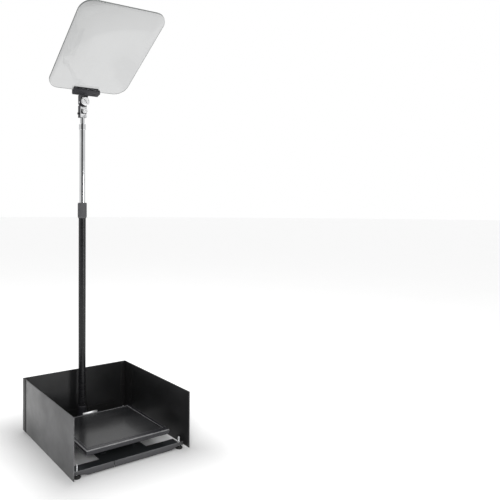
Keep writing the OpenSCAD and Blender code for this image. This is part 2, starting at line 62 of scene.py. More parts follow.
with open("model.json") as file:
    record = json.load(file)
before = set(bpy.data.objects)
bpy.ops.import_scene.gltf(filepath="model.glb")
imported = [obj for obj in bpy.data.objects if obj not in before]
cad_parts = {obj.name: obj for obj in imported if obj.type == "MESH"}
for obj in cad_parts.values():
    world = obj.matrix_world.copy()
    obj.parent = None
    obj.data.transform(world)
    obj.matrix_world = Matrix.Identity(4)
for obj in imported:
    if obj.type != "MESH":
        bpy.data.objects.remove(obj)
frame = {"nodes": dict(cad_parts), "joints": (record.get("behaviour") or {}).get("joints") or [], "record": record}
CAD_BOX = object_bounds()
NODES = frame["nodes"]
JOINTS = {joint["name"]: joint for joint in frame["joints"]}
BODY_OF = {
    node: body
    for body, members in frame["record"]["behaviour"]["bodies"].items()
    for node in members
}
MM = 0.001
CORNERS = ("front_left", "front_right", "rear_left", "rear_right")
BUTTONS = ("auto_button", "down_button", "up_button", "menu_button", "power_button")


# ---------- settings ----------


class StudioSettings(bpy.types.PropertyGroup):
    """Camera, floor and lights"""

    lens: FloatProperty(
        name="Lens", description="Focal length of the camera", default=37.425, unit="CAMERA"
    )
    camera_place: FloatVectorProperty(
        name="Camera place",
        description="Where the camera stands",
        default=(-1.0277, -1.8631, 0.9534),
        subtype="TRANSLATION",
        unit="LENGTH",
    )
    camera_turn: FloatProperty(
        name="Camera turn",
        description="Turn of the camera from straight ahead, towards +X",
        default=math.radians(31.228),
        subtype="ANGLE",
    )
    camera_dip: FloatProperty(
        name="Camera dip",
        description="How far the camera looks below level",
        default=math.radians(1.189),
        subtype="ANGLE",
    )
    camera_roll: FloatProperty(
        name="Camera roll", description="Roll of the camera", default=math.radians(0.179), subtype="ANGLE"
    )
    side_shift: FloatProperty(
        name="Side shift", description="Sideways shift that frames the unit on the left", default=0.25
    )
    rise_shift: FloatProperty(
        name="Rise shift", description="Upward shift of the lens", default=-0.06
    )
    surround: FloatProperty(
        name="Surround", description="Brightness of the white surround as a light", default=0.34, min=0
    )
    surround_gloss: FloatProperty(
        name="Surround in gloss",
        description="Brightness of the surround as polished parts mirror it",
        default=0.78,
        min=0,
    )
    overhead_power: FloatProperty(
        name="Overhead light", description="Power of the large overhead softbox", default=35.0, unit="POWER"
    )
    key_power: FloatProperty(
        name="Key light", description="Power of the softbox at the front left", default=52.0, unit="POWER"
    )
    # The floor glows away from the unit only, so a painted shadow rings the base.
    floor_glow: FloatProperty(
        name="Floor glow", description="Light that the floor gives away from the unit", default=0.62, min=0
    )
    strip_power: FloatProperty(
        name="Strip light", description="Power of the tall strip on the right", default=18.0, unit="POWER"
    )
    floor_colour: FloatVectorProperty(
        name="Floor colour", description="Colour of the floor",
        default=(0.9, 0.9, 0.9), subtype="COLOR", size=3,
    )


class FinishSettings(bpy.types.PropertyGroup):
    """Colours of the finishes"""

    laminate: FloatVectorProperty(
        name="Laminate", description="Shroud panels",
        default=(0.011, 0.0112, 0.0118), subtype="COLOR", size=3,
    )
    # The outer faces are the same laminate painted lighter: painted light for the light that falls on them.
    lit_outer_laminate: FloatVectorProperty(
        name="Outer laminate", description="Outer faces of the shroud",
        default=(0.07, 0.0705, 0.072), subtype="COLOR", size=3,
    )
    # Panel edges: partly their own paint, partly a painted highlight along the panel rims.
    cut_edge_and_highlight: FloatVectorProperty(
        name="Panel edge", description="Cut edges of the panels",
        default=(0.1, 0.1, 0.103), subtype="COLOR", size=3,
    )
    frame_steel: FloatVectorProperty(
        name="Frame steel", description="Powder coat of the base frame",
        default=(0.03, 0.03, 0.032), subtype="COLOR", size=3,
    )
    skirt_steel: FloatVectorProperty(
        name="Skirt steel", description="Powder coat of the skirts",
        default=(0.075, 0.075, 0.078), subtype="COLOR", size=3,
    )
    pole_black: FloatVectorProperty(
        name="Pole black", description="Gloss paint of the lower tube",
        default=(0.008, 0.008, 0.009), subtype="COLOR", size=3,
    )
    clutch_grey: FloatVectorProperty(
        name="Clutch grey", description="Ribbed clutch sleeve",
        default=(0.085, 0.085, 0.088), subtype="COLOR", size=3,
    )
    bezel_plastic: FloatVectorProperty(
        name="Bezel plastic", description="Monitor casing",
        default=(0.16, 0.16, 0.163), subtype="COLOR", size=3,
    )
    chrome: FloatVectorProperty(
        name="Chrome", description="Upper tube and spigot",
        default=(0.7, 0.71, 0.72), subtype="COLOR", size=3,
    )
    alloy: FloatVectorProperty(
        name="Alloy", description="Knobs and faceplate",
        default=(0.72, 0.725, 0.73), subtype="COLOR", size=3,
    )
    zinc: FloatVectorProperty(
        name="Zinc", description="Studs, nuts and screws",
        default=(0.82, 0.83, 0.84), subtype="COLOR", size=3,
    )
    glass_tint: FloatVectorProperty(
        name="Glass tint", description="Colour of light through the glass",
        default=(0.66, 0.665, 0.665), subtype="COLOR", size=3,
    )


class DetailSettings(bpy.types.PropertyGroup):
    """Sizes of the fine detail"""

    panel_ease: FloatProperty(
        name="Panel ease", description="Rounding of panel edges", default=0.0006, unit="LENGTH"
    )
    metal_ease: FloatProperty(
        name="Metal ease", description="Rounding of sheet and cast metal edges", default=0.0005, unit="LENGTH"
    )
    casing_ease: FloatProperty(
        name="Casing ease", description="Rounding of the monitor casing", default=0.0016, unit="LENGTH"
    )
    glass_ease: FloatProperty(
        name="Glass ease", description="Ground bevel of the glass edges", default=0.0007, unit="LENGTH"
    )
    clutch_ribs: IntProperty(
        name="Clutch ribs", description="Ribs round the clutch sleeve", default=32, min=8
    )
    knob_ribs: IntProperty(name="Knob ribs", description="Ribs round a knob", default=40, min=8)
    thread_pitch: FloatProperty(
        name="Thread pitch", description="Pitch of the levelling studs", default=0.00125, unit="LENGTH"
    )


def studio():
    return bpy.context.scene.teleprompter_studio


def finishes():
    return bpy.context.scene.teleprompter_finish


def detail():
    return bpy.context.scene.teleprompter_detail


# ---------- materials ----------


class Finish:
    """A Principled material whose patterns lie on Object coordinates"""

    def __init__(self, name, **fixed):
        self.material = bpy.data.materials.new(name)
        self.material.use_nodes = True
        self.nodes = self.material.node_tree.nodes
        self.links = self.material.node_tree.links
        self.shader = self.nodes["Principled BSDF"]
        for socket, value in fixed.items():
            self.shader.inputs[socket.replace("_", " ")].default_value = value
        self.place = self.nodes.new("ShaderNodeTexCoord").outputs["Object"]

    def stretched(self, scale):
        mapping = self.nodes.new("ShaderNodeMapping")
        mapping.inputs["Scale"].default_value = scale
        self.links.new(self.place, mapping.inputs["Vector"])
        return mapping.outputs["Vector"]

    def noise(self, per_metre, detail_level=3.0, roughness=0.55, vector=None):
        node = self.nodes.new("ShaderNodeTexNoise")
        node.inputs["Scale"].default_value = per_metre
        node.inputs["Detail"].default_value = detail_level
        node.inputs["Roughness"].default_value = roughness
        self.links.new(vector or self.place, node.inputs["Vector"])
        return node.outputs["Fac"]

    def between(self, factor, low, high, start=0.35, end=0.65):
        node = self.nodes.new("ShaderNodeMapRange")
        node.inputs["From Min"].default_value = start
        node.inputs["From Max"].default_value = end
        node.inputs["To Min"].default_value = low
        node.inputs["To Max"].default_value = high
        self.links.new(factor, node.inputs["Value"])
        return node.outputs["Result"]

    def mixed(self, factor, first, second):
        node = self.nodes.new("ShaderNodeMix")
        node.data_type = "RGBA"
        self.links.new(factor, node.inputs["Factor"])
        for socket, colour in (("A", first), ("B", second)):
            target = next(s for s in node.inputs if s.name == socket and s.type == "RGBA")
            if isinstance(colour, bpy.types.NodeSocket):
                self.links.new(colour, target)
            else:
                target.default_value = (*colour, 1)
        return next(s for s in node.outputs if s.type == "RGBA")

    def colour(self, source):
        self.links.new(source, self.shader.inputs["Base Color"])

    def roughness(self, source):
        self.links.new(source, self.shader.inputs["Roughness"])

    def bump(self, source, height, strength=1.0):
        node = self.nodes.new("ShaderNodeBump")
        node.inputs["Distance"].default_value = height
        node.inputs["Strength"].default_value = strength
        self.links.new(source, node.inputs["Height"])
        self.links.new(node.outputs["Normal"], self.shader.inputs["Normal"])


def scaled(colour, factor):
    return tuple(min(1.0, channel * factor) for channel in colour)


def laminate_finish(name, base):
    """Satin laminate: faint mottle, hand smudges in the gloss and a fine pebble"""
    finish = Finish(name, Specular_IOR_Level=0.5)
    mottle = finish.noise(9, 4)
    finish.colour(finish.mixed(finish.between(mottle, 0, 1), scaled(base, 0.8), scaled(base, 1.35)))
    finish.roughness(finish.between(finish.noise(14, 5, 0.6), 0.30, 0.40))
    finish.bump(finish.noise(1500, 2), 0.00003, 0.35)
    return finish.material


def edge_finish():
    """Cut and painted panel edge with rubbed patches; it is lighter than the laminate, partly its own paint and
    partly a painted highlight along the rims
    """
    base = tuple(finishes().cut_edge_and_highlight)
    finish = Finish("cut_edge_and_highlight")
    worn = finish.noise(60, 5, 0.7)
    finish.colour(finish.mixed(finish.between(worn, 0, 1), scaled(base, 0.6), scaled(base, 1.5)))
    finish.roughness(finish.between(worn, 0.35, 0.6))
    finish.bump(finish.noise(900, 2), 0.00004, 0.4)
    return finish.material


def powder_finish(name, base, low=0.38, high=0.52, per_metre=1100, **fixed):
    """Powder coat: orange peel, and dust that settles in patches"""
    finish = Finish(name, **fixed)
    patch = finish.noise(22, 5, 0.6)
    finish.colour(finish.mixed(finish.between(patch, 0, 1), scaled(base, 0.82), scaled(base, 1.3)))
    finish.roughness(finish.between(patch, low, high))
    finish.bump(finish.noise(per_metre, 2), 0.00005, 0.45)
    return finish.material


def gloss_paint_finish():
    """Gloss paint of the lower tube, with fine rubbing marks round it"""
    base = tuple(finishes().pole_black)
    finish = Finish("gloss_paint", Specular_IOR_Level=0.3)
    rubbed = finish.noise(30, 6, 0.7, finish.stretched((1, 1, 14)))
    finish.colour(finish.mixed(finish.between(rubbed, 0, 1), scaled(base, 0.7), scaled(base, 1.8)))
    finish.roughness(finish.between(rubbed, 0.24, 0.34))
    finish.bump(finish.noise(260, 2), 0.00002, 0.2)
    return finish.material


def chrome_finish():
    """Bright chrome with faint drawn lines along the tube and finger haze"""
    base = tuple(finishes().chrome)
    finish = Finish("bright_chrome", Metallic=1.0)
    haze = finish.noise(26, 5, 0.6)
    drawn = finish.noise(900, 2, 0.5, finish.stretched((1, 1, 0.02)))
    finish.colour(finish.mixed(finish.between(haze, 0, 1), scaled(base, 0.92), scaled(base, 1.06)))
    finish.roughness(finish.between(haze, 0.03, 0.07))
    finish.bump(drawn, 0.00001, 0.15)
    return finish.material


def alloy_finish(name, base, low=0.26, high=0.34, bright=1.05):
    """Satin alloy with short machining marks"""
    finish = Finish(name, Metallic=0.85)
    marks = finish.noise(700, 3, 0.6, finish.stretched((0.15, 1, 1)))
    cloud = finish.noise(40, 3)
    finish.colour(finish.mixed(finish.between(cloud, 0, 1), scaled(base, 0.95), scaled(base, bright)))
    finish.roughness(finish.between(marks, low, high))
    finish.bump(marks, 0.00001, 0.15)
    return finish.material


def zinc_finish():
    """Bright zinc plating with crystalline patches"""
    base = tuple(finishes().zinc)
    finish = Finish("bright_zinc", Metallic=1.0)
    grain = finish.nodes.new("ShaderNodeTexVoronoi")
    grain.inputs["Scale"].default_value = 520
    finish.links.new(finish.place, grain.inputs["Vector"])
    facet = finish.between(grain.outputs["Distance"], 0, 1, 0.1, 0.8)
    finish.colour(finish.mixed(facet, scaled(base, 0.86), scaled(base, 1.08)))
    finish.roughness(finish.between(finish.noise(120, 4), 0.18, 0.34))
    finish.bump(finish.noise(600, 2), 0.00002, 0.2)
    return finish.material


def moulded_finish(name, base, low=0.32, high=0.44, grain=2200, depth=0.00004, **fixed):
    """Moulded plastic with a fine spark-eroded grain"""
    finish = Finish(name, **fixed)
    cloud = finish.noise(35, 4)
    finish.colour(finish.mixed(finish.between(cloud, 0, 1), scaled(base, 0.85), scaled(base, 1.22)))
    finish.roughness(finish.between(cloud, low, high))
    finish.bump(finish.noise(grain, 2), depth, 0.4)
    return finish.material


def screen_finish():
    """Dark screen behind its hard film, with wiped smears in the gloss"""
    finish = Finish("screen_film", Specular_IOR_Level=0.5, Coat_Weight=0.25, Coat_Roughness=0.12)
    wiped = finish.noise(7, 5, 0.6, finish.stretched((1, 3, 1)))
    finish.colour(finish.mixed(finish.between(wiped, 0, 1), (0.008, 0.0085, 0.0095), (0.017, 0.0175, 0.019)))
    finish.roughness(finish.between(wiped, 0.2, 0.27))
    return finish.material


def rubber_finish():
    """Moulded rubber, matte with a dusty bloom"""
    finish = Finish("rubber")
    bloom = finish.noise(90, 5, 0.65)
    finish.colour(finish.mixed(finish.between(bloom, 0, 1), (0.012, 0.012, 0.012), (0.04, 0.039, 0.038)))
    finish.roughness(finish.between(bloom, 0.42, 0.68))
    finish.bump(finish.noise(1400, 3), 0.00008, 0.4)
    return finish.material


def board_finish():
    """Circuit board: solder mask with lighter tracks"""
    finish = Finish("circuit_board")
    tracks = finish.nodes.new("ShaderNodeTexBrick")
    tracks.inputs["Scale"].default_value = 90
    tracks.inputs["Mortar Size"].default_value = 0.05
    finish.links.new(finish.place, tracks.inputs["Vector"])
    finish.colour(finish.mixed(tracks.outputs["Fac"], (0.02, 0.12, 0.05), (0.08, 0.3, 0.12)))
    finish.roughness(finish.between(finish.noise(80), 0.3, 0.5))
    return finish.material


def glass_finish():
    """Partly reflecting coated glass"""
    finish = Finish("coated_glass", Transmission_Weight=1.0, IOR=1.5, Roughness=0.0)
    tint = tuple(finishes().glass_tint)
    veil = finish.noise(3, 2)
    finish.colour(finish.mixed(finish.between(veil, 0, 1), scaled(tint, 0.99), scaled(tint, 1.01)))
    return finish.material


def glass_edge_finish():
    """Ground edge of the glass"""
    finish = Finish("ground_glass_edge", Transmission_Weight=0.25, IOR=1.5)
    ground = finish.noise(500, 3)
    finish.colour(finish.mixed(finish.between(ground, 0, 1), (0.07, 0.078, 0.077), (0.13, 0.142, 0.14)))
    finish.roughness(finish.between(ground, 0.25, 0.45))
    return finish.material


def floor_finish():
    """Pale studio floor with a barely visible mottle, glowing away from the unit and not near it: the dim ring
    round the base is a painted shadow
    """
    base = tuple(studio().floor_colour)
    finish = Finish("studio_floor", Specular_IOR_Level=0.1, Roughness=0.9)
    mottle = finish.noise(2, 3)
    finish.colour(finish.mixed(finish.between(mottle, 0, 1), scaled(base, 0.99), scaled(base, 1.01)))
    # Emission grows from none at the unit's box to full 0.3 m away: a glowing floor and a painted shadow round the
    # base.
    beyond = finish.place
    for operation, value in (
        ("ABSOLUTE", None),
        ("SUBTRACT", (CAD_BOX[1].x, CAD_BOX[1].y, 0)),
        ("MAXIMUM", (0, 0, 0)),
    ):
        step = finish.nodes.new("ShaderNodeVectorMath")
        step.operation = operation
        finish.links.new(beyond, step.inputs[0])
        if value is not None:
            step.inputs[1].default_value = value
        beyond = step.outputs["Vector"]
    away = finish.nodes.new("ShaderNodeVectorMath")
    away.operation = "LENGTH"
    finish.links.new(beyond, away.inputs[0])
    glow = finish.between(away.outputs["Value"], 0.0, studio().floor_glow, 0.0, 0.3)
    finish.links.new(glow, finish.shader.inputs["Emission Strength"])
    finish.shader.inputs["Emission Color"].default_value = (1, 1, 1, 1)
    return finish.material


MAKERS = {
    # The outer laminate is the inner laminate made lighter, as painted light on the outer faces.
    "satin_laminate": lambda: laminate_finish("satin_laminate", tuple(finishes().laminate)),
    "lit_outer_laminate": lambda: laminate_finish("lit_outer_laminate", tuple(finishes().lit_outer_laminate)),
    "cut_edge_and_highlight": edge_finish,
    "corner_black": lambda: powder_finish(
        "corner_black", (0.012, 0.012, 0.0125), 0.8, 0.95, Specular_IOR_Level=0.004
    ),
    "frame_steel": lambda: powder_finish("frame_steel", tuple(finishes().frame_steel)),
    "skirt_steel": lambda: powder_finish("skirt_steel", tuple(finishes().skirt_steel), 0.34, 0.46),
    # Lighter paint for the skirt's rims: a painted highlight along the top edge.
    "skirt_rim_highlight": lambda: powder_finish("skirt_rim_highlight", (0.2, 0.2, 0.205), 0.3, 0.4),
    "black_alloy": lambda: powder_finish("black_alloy", (0.016, 0.016, 0.017), 0.3, 0.42, 1600),
    "dark_screw": lambda: alloy_finish("dark_screw", (0.05, 0.05, 0.052), 0.3, 0.45),
    "gloss_paint": gloss_paint_finish,
    "bright_chrome": chrome_finish,
    "satin_alloy": lambda: alloy_finish("satin_alloy", tuple(finishes().alloy)),
    "bright_zinc": zinc_finish,
    "clutch_grey": lambda: moulded_finish("clutch_grey", tuple(finishes().clutch_grey), 0.42, 0.56),
    "bezel_plastic": lambda: moulded_finish("bezel_plastic", tuple(finishes().bezel_plastic), 0.26, 0.36),
    # Lighter plastic for the bezel's upward-facing rims: a painted highlight.
    "bezel_rim_highlight": lambda: moulded_finish("bezel_rim_highlight", (0.2, 0.2, 0.204), 0.24, 0.32),
    "button_black": lambda: moulded_finish("button_black", (0.01, 0.01, 0.011), 0.3, 0.42),
    "connector_black": lambda: moulded_finish("connector_black", (0.02, 0.02, 0.022), 0.4, 0.55),
    "connector_blue": lambda: moulded_finish("connector_blue", (0.03, 0.06, 0.3), 0.35, 0.5),
    "nylon": lambda: moulded_finish("nylon", (0.72, 0.71, 0.67), 0.4, 0.55, Subsurface_Weight=0.1),
    "diffuser": lambda: moulded_finish("diffuser", (0.8, 0.8, 0.78), 0.5, 0.7),
    "screen_film": screen_finish,
    "rubber": rubber_finish,
    "circuit_board": board_finish,
    "coated_glass": glass_finish,
    "ground_glass_edge": glass_edge_finish,
}


def material(name):
    """The named finish, made the first time that it's asked for"""
    return bpy.data.materials.get(name) or MAKERS[name]()


def paint(finish_name, *nodes):
    """Gives CAD nodes that keep their own shape a finish"""
    for node in nodes:
        slots = NODES[node].data.materials
        slots.clear()
        slots.append(material(finish_name))


# ---------- mesh tools ----------


def finish_piece(name, mesh, body, finish_names, replaced=(), smooth_angle=35.0):
    """Turns a bmesh into an object that rides on a body and stands for CAD nodes"""
    data = bpy.data.meshes.new(name)
    mesh.to_mesh(data)
    mesh.free()
    for polygon in data.polygons:
        polygon.use_smooth = True
    data.set_sharp_from_angle(angle=math.radians(smooth_angle))
    for finish_name in finish_names:
        data.materials.append(material(finish_name))
    piece = bpy.data.objects.new(name, data)
    bpy.context.collection.objects.link(piece)
    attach(piece, body)
    if replaced:
        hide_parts(*replaced)
    return piece


def merged_copy(node):
    """A copy of a CAD node's mesh with its loose triangles joined into flat faces"""
    mesh = bmesh.new()
    mesh.from_mesh(NODES[node].data)
    bmesh.ops.remove_doubles(mesh, verts=mesh.verts, dist=0.00002)
    bmesh.ops.dissolve_limit(
        mesh, angle_limit=math.radians(0.6), use_dissolve_boundaries=False, verts=mesh.verts, edges=mesh.edges
    )
    return mesh


def long_outer_edges(mesh, shortest, sharpest=math.radians(30)):
    """Edges that stick out and are long enough to round without meeting a hole"""
    return [
        edge
        for edge in mesh.edges
        if len(edge.link_faces) == 2
        and edge.is_convex
        and edge.calc_face_angle(0) > sharpest
        and edge.calc_length() > shortest
    ]


def eased_mesh(node, radius, segments=2):
    """A CAD node's shape with its outer edges rounded"""
    mesh = merged_copy(node)
    edges = long_outer_edges(mesh, 4 * radius)
    bmesh.ops.bevel(
        mesh,
        geom=edges,
        offset=radius,
        offset_type="OFFSET",
        affect="EDGES",
        segments=segments,
        profile=0.5,
        material=-1,
        clamp_overlap=True,
    )
    return mesh


def ease(node, radius, *finish_names, segments=2, edge_axis=None):
    """Replaces a CAD node by its own shape with rounded edges; its rim may take a second finish, which the skirts
    use as a painted highlight
    """
    mesh = eased_mesh(node, radius, segments)
    if edge_axis is not None:
        for face in mesh.faces:
            face.material_index = int(abs(face.normal[edge_axis]) < 0.85)
    return finish_piece(node + "_eased", mesh, BODY_OF[node], finish_names, [node])


def turned(profile, steps):
    """Spins an outline of (radius, height) points round Z into a closed solid"""
    part = bmesh.new()
    points = [part.verts.new((radius, 0, height)) for radius, height in profile]
    edges = [part.edges.new(pair) for pair in zip(points, points[1:])]
    bmesh.ops.spin(
        part,
        geom=points + edges,
        cent=(0, 0, 0),
        axis=(0, 0, 1),
        angle=2 * math.pi,
        steps=steps,
        use_merge=True,
    )
    bmesh.ops.remove_doubles(part, verts=part.verts, dist=1e-7)
    bmesh.ops.recalc_face_normals(part, faces=part.faces)
    return part


def flute(mesh, outer, depth, low, high, ribs):
    """Pushes every other pair of columns in, so that ribs stand out between two heights"""
    for vert in mesh.verts:
        reach = math.hypot(vert.co.x, vert.co.y)
        if reach > outer - depth * 0.5 and low - 1e-6 <= vert.co.z <= high + 1e-6:
            turn = math.atan2(vert.co.y, vert.co.x) / (2 * math.pi) * ribs
            if (turn - math.floor(turn)) >= 0.499:
                vert.co.x *= (reach - depth) / reach
                vert.co.y *= (reach - depth) / reach


def hexed(mesh, flat_radius, low, high):
    """Shapes the inner columns between two heights into a hexagonal socket"""
    for vert in mesh.verts:
        reach = math.hypot(vert.co.x, vert.co.y)
        if 1e-6 < reach < flat_radius * 1.02 and low <= vert.co.z <= high:
            turn = math.degrees(math.atan2(vert.co.y, vert.co.x)) % 60 - 30
            side = flat_radius / math.cos(math.radians(turn))
            vert.co.x *= side / reach
            vert.co.y *= side / reach


def join(target, part, place):
    """Adds a part to a mesh at a place and frees the part"""
    part.transform(place)
    data = bpy.data.meshes.new("part")
    part.to_mesh(data)
    part.free()
    target.from_mesh(data)
    bpy.data.meshes.remove(data)


def facing(point, direction):
    """The place that turns a part's Z towards a direction and moves it to a point"""
    turn = Vector(direction).to_track_quat("Z", "Y").to_matrix().to_4x4()
    return Matrix.Translation(Vector(point)) @ turn


def islands(node):
    """The separate solids of a CAD node, each as a list of its points"""
    mesh = bmesh.new()
    mesh.from_mesh(NODES[node].data)
    bmesh.ops.remove_doubles(mesh, verts=mesh.verts, dist=0.00002)
    left = set(mesh.verts)
    found = []
    while left:
        heap, group = [left.pop()], []
        while heap:
            vert = heap.pop()
            group.append(vert.co.copy())
            for edge in vert.link_edges:
                other = edge.other_vert(vert)
                if other in left:
                    left.remove(other)
                    heap.append(other)
        found.append(group)
    mesh.free()
    return found


def screw_part(head_radius, head_height, shank_radius, length, socket):
    """Button-head screw with a hexagonal socket; its head stands on z = 0"""
    ease_by = head_height * 0.35
    part = turned(
        [
            (0, -length),
            (shank_radius * 0.8, -length),
            (shank_radius, -length + shank_radius * 0.3),
            (shank_radius, 0),
            (head_radius, 0),
            (head_radius, head_height * 0.3),
            (head_radius - ease_by, head_height * 0.75),
            (head_radius - 2.2 * ease_by, head_height),
            (socket, head_height),
            (socket, head_height * 0.3),
            (0, head_height * 0.3),
        ],
        24,
    )
    hexed(part, socket, head_height * 0.2, head_height * 1.1)
    return part


def screws_like(node, name, finish_name, socket_share=0.42):
    """Detailed screws in the places, directions and sizes of a CAD node's plain ones"""
    mesh = bmesh.new()
    for points in islands(node):
        low = Vector([min(p[i] for p in points) for i in range(3)])
        high = Vector([max(p[i] for p in points) for i in range(3)])
        size, centre = high - low, (high + low) / 2
        axis = max(
            range(3), key=lambda i: abs(size[i] - size[(i + 1) % 3]) + abs(size[i] - size[(i + 2) % 3])
        )

        def reach(p):
            along = Vector([(p[i] - centre[i]) if i == axis else 0 for i in range(3)])
            return (Vector(p) - centre - along).length

        head_radius = max(reach(p) for p in points)
        head = [p[axis] for p in points if reach(p) > head_radius * 0.97]
        shank_radius = max(reach(p) for p in points if reach(p) < head_radius * 0.9)
        outward = 1 if max(head) > centre[axis] + size[axis] * 0.4 else -1
        head_height = max(head) - min(head)
        seat = centre.copy()
        seat[axis] = min(head) if outward > 0 else max(head)
        direction = Vector([outward if i == axis else 0 for i in range(3)])
        part = screw_part(
            head_radius, head_height, shank_radius, size[axis] - head_height, head_radius * socket_share
        )
        join(mesh, part, facing(seat, direction))
    return finish_piece(name, mesh, BODY_OF[node], [finish_name], [node])


# ---------- pieces ----------


class BuildShroud(bpy.types.Operator):
    """Shroud panels with painted rims, corner posts and piano hinges"""

    bl_idname = "teleprompter.build_shroud"
    bl_label = "Shroud"

    def panel(self, node, outward, radius):
        """Panel of one laminate with a dark inner face, an outer face painted lighter as painted light, and edges
        painted lighter, partly as a painted highlight
        """
        mesh = eased_mesh(node, radius)
        for face in mesh.faces:
            side = face.normal.dot(outward)
            # Outer faces take the lighter laminate as painted light; rims take the edge paint, partly a painted
            # highlight.
            face.material_index = 2 if side > 0.85 else int(abs(side) < 0.85)
        names = ["satin_laminate", "cut_edge_and_highlight", "lit_outer_laminate"]
        finish_piece(node + "_eased", mesh, BODY_OF[node], names, [node])

    def execute(self, context):
        radius = detail().panel_ease
        for node, outward in (
            ("left_wing_panel", (-1, 0, 0)),
            ("right_wing_panel", (1, 0, 0)),
            ("rear_panel", (0, 1, 0)),
        ):
            self.panel(node, Vector(outward), radius)
        for node in ("left_corner_post", "right_corner_post"):
            ease(node, radius, "corner_black")
        paint(
            "corner_black",
            "left_hinge_fixed_leaf",
            "right_hinge_fixed_leaf",
            "left_hinge_moving_leaf",
            "right_hinge_moving_leaf",
        )
        paint("bright_zinc", "hinge_pins")
        return {"FINISHED"}


class BuildBaseFrame(bpy.types.Operator):
    """Frame plate, skirts, rear rail, riser and their screws"""

    bl_idname = "teleprompter.build_base_frame"
    bl_label = "Base frame"

    def execute(self, context):
        radius = detail().metal_ease
        ease("base_frame", radius, "frame_steel")
        ease("monitor_riser", radius, "frame_steel")
        ease("rear_rail", radius, "corner_black")
        for node in ("front_skirt_left", "front_skirt_right"):
            # Faces that don't face front or back take the lighter rim paint: a painted highlight.
            ease(node, 1.6 * radius, "skirt_steel", "skirt_rim_highlight", edge_axis=1)
        ease("monitor_clip", radius, "satin_alloy")
        screws_like("frame_screws", "frame_button_screws", "dark_screw")
        screws_like("vesa_screws", "monitor_fixing_screws", "bright_zinc")
        return {"FINISHED"}


class BuildFeet(bpy.types.Operator):
    """Rubber levelling feet on threaded studs, with lock nuts"""

    bl_idname = "teleprompter.build_feet"
    bl_label = "Levelling feet"

    def foot(self, corner):
        node = "foot_" + corner
        low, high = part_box(node)
        centre, radius, top = (low + high) / 2, (high.x - low.x) / 2, high.z
        ring = radius * 0.92
        part = turned(
            [
                (0, 0.0008),
                (radius * 0.55, 0.0008),
                (radius * 0.62, 0),
                (ring, 0),
                (radius, 0.0014),
                (radius, top * 0.52),
                (ring, top * 0.62),
                (radius * 0.78, top * 0.66),
                (radius * 0.74, top * 0.96),
                (radius * 0.7, top),
                (0, top),
            ],
            72,
        )
        flute(part, radius, 0.0006, 0.001, top * 0.55, 24)
        part.transform(Matrix.Translation((centre.x, centre.y, low.z)))
        finish_piece(node + "_pad", part, BODY_OF[node], ["rubber"], [node])

    def stud(self, corner):
        node = "stud_" + corner
        low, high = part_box(node)
        centre, radius = (low + high) / 2, (high.x - low.x) / 2
        pitch = detail().thread_pitch
        crest, root = radius, radius - pitch * 0.5
        profile = [(0, low.z), (root, low.z)]
        turns = int((high.z - low.z - 2.4 * MM) / pitch)
        start = low.z + 0.6 * MM
        for turn in range(turns):
            z = start + turn * pitch
            profile += [(root, z), (crest, z + pitch * 0.4), (crest, z + pitch * 0.55)]
        end = start + turns * pitch
        profile += [(root, end), (root, high.z - 1.2 * MM), (root - 0.8 * MM, high.z), (0, high.z)]
        part = turned(profile, 20)
        part.transform(Matrix.Translation((centre.x, centre.y, 0)))
        finish_piece(node + "_thread", part, BODY_OF[node], ["bright_zinc"], [node], smooth_angle=25)

    def execute(self, context):
        for corner in CORNERS:
            self.foot(corner)
            self.stud(corner)
        ease("foot_lock_nuts", 0.0004, "bright_zinc")
        return {"FINISHED"}


class BuildMonitor(bpy.types.Operator):
    """Monitor casing, screen, buttons and connectors"""

    bl_idname = "teleprompter.build_monitor"
    bl_label = "Monitor"

    def execute(self, context):
        self.bezel()
        ease("rear_housing", detail().casing_ease, "bezel_plastic", segments=3)
        paint("screen_film", "lcd_panel")
        paint("diffuser", "backlight")
        paint("circuit_board", "main_board")
        paint("connector_black", "power_inlet")
        paint("connector_blue", "video_connector")
        for node in BUTTONS:
            self.button(node)
        return {"FINISHED"}

    def bezel(self):
        """Bezel whose upward-facing rounded rims are painted lighter than its flat faces: a painted highlight"""
        mesh = eased_mesh("front_bezel", detail().casing_ease, 3)
        for face in mesh.faces:
            flat = max(abs(part) for part in face.normal) > 0.985
            # Rounded faces that face up take the lighter finish: a painted highlight.
            face.material_index = int(not flat and face.normal.z > 0.3)
        finish_piece(
            "front_bezel_eased", mesh, BODY_OF["front_bezel"], ["bezel_plastic", "bezel_rim_highlight"], ["front_bezel"]
        )

    def button(self, node):
        """Push button with a dished face and a soft rim"""
        low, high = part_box(node)
        centre = (low + high) / 2
        flange = (high.x - low.x) / 2
        flange_back, flange_front = 7.4 * MM, 5.4 * MM
        cap = flange - 1.4 * MM
        depth = high.y - low.y
        part = turned(
            [
                (0, 0),
                (cap, 0),
                (cap, depth - flange_back),
                (flange, depth - flange_back),
                (flange, depth - flange_front),
                (cap, depth - flange_front),
                (cap, depth - 0.5 * MM),
                (cap - 0.2 * MM, depth - 0.1 * MM),
                (cap - 0.5 * MM, depth),
                (cap - 0.9 * MM, depth - 0.05 * MM),
                (cap * 0.45, depth - 0.3 * MM),
                (0, depth - 0.35 * MM),
            ],
            36,
        )
        part.transform(facing((centre.x, high.y, centre.z), (0, -1, 0)))
        finish_piece(node + "_cap", part, BODY_OF[node], ["button_black"], [node])


